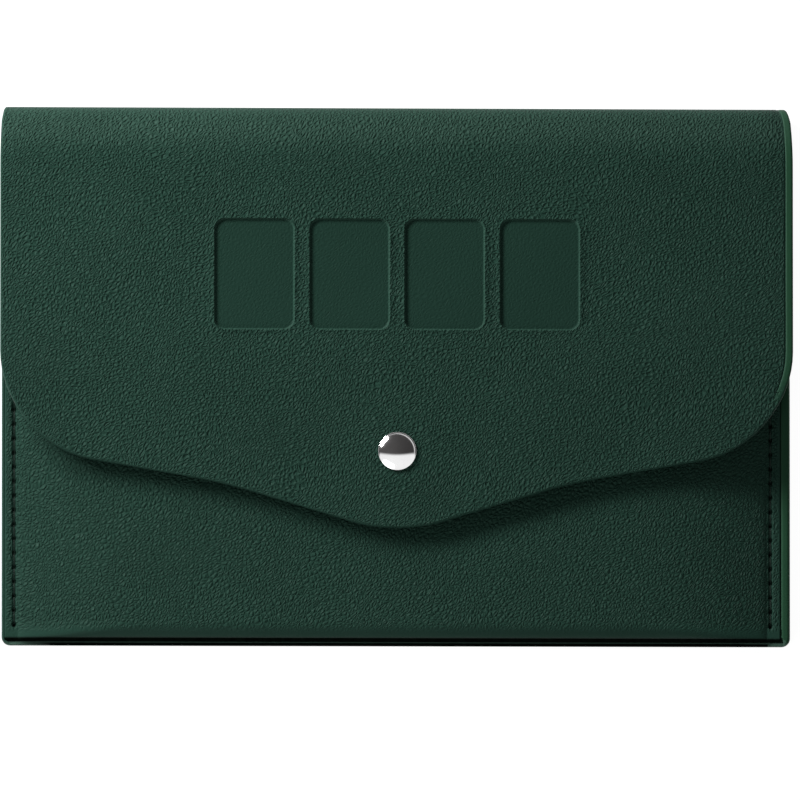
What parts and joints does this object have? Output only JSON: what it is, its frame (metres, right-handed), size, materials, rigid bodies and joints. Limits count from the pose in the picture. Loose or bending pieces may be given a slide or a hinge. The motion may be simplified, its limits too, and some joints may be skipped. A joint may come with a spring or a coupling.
{
  "type": "mahjong card holder",
  "caption": "Flat leather pouch for score cards, with a fold-over flap, stitched side seams and a snap fastener.",
  "frame": {"origin": "middle of the base, under the centre of the closed holder's box, with the holder lying on its back", "axes": "+X across the width to the right seen from the front, +Y from the base edge to the fold, +Z out of the front face"},
  "size_m": [0.23, 0.156, 0.0174],
  "materials": {
    "outer_leather": "dark green, fine pebble grain, satin",
    "filling": "soft white felt-like foam sheet",
    "lining_cloth": "dark green brushed cloth, matt",
    "seam_thread": "dark green twisted thread, slight sheen",
    "polished_cap": "mirror-polished plate",
    "snap_metal": "plain bright plate, satin",
    "spring_wire": "drawn wire"
  },
  "bodies": {
    "pouch": {"back_panel": "outer_leather", "back_foam": "filling", "back_lining": "lining_cloth", "front_panel": "outer_leather", "front_lining": "lining_cloth", "left_needle_thread": "seam_thread", "left_bobbin_thread": "seam_thread", "right_needle_thread": "seam_thread", "right_bobbin_thread": "seam_thread", "snap_stud": "snap_metal", "stud_eyelet": "snap_metal"},
    "fold": {"fold_panel": "outer_leather", "fold_foam": "filling", "fold_lining": "lining_cloth"},
    "flap": {"flap_panel": "outer_leather", "flap_foam": "filling", "flap_lining": "lining_cloth", "snap_cap": "polished_cap", "snap_socket": "snap_metal", "socket_spring": "spring_wire"}
  },
  "joints": [
    {"name": "fold_bend", "type": "hinge", "parent": "pouch", "child": "fold", "pos_m": [0, 0.07703, 0.00097], "axis": [-1, 0, 0], "range_deg": [0, 89]},
    {"name": "flap_bend", "type": "hinge", "parent": "fold", "child": "flap", "pos_m": [0, 0.07561, 0.01281], "axis": [-1, 0, 0], "range_deg": [0, 89]}
  ],
  "couplings": [
    {"joint": "flap_bend", "follows": "fold_bend", "ratio": 1}
  ]
}
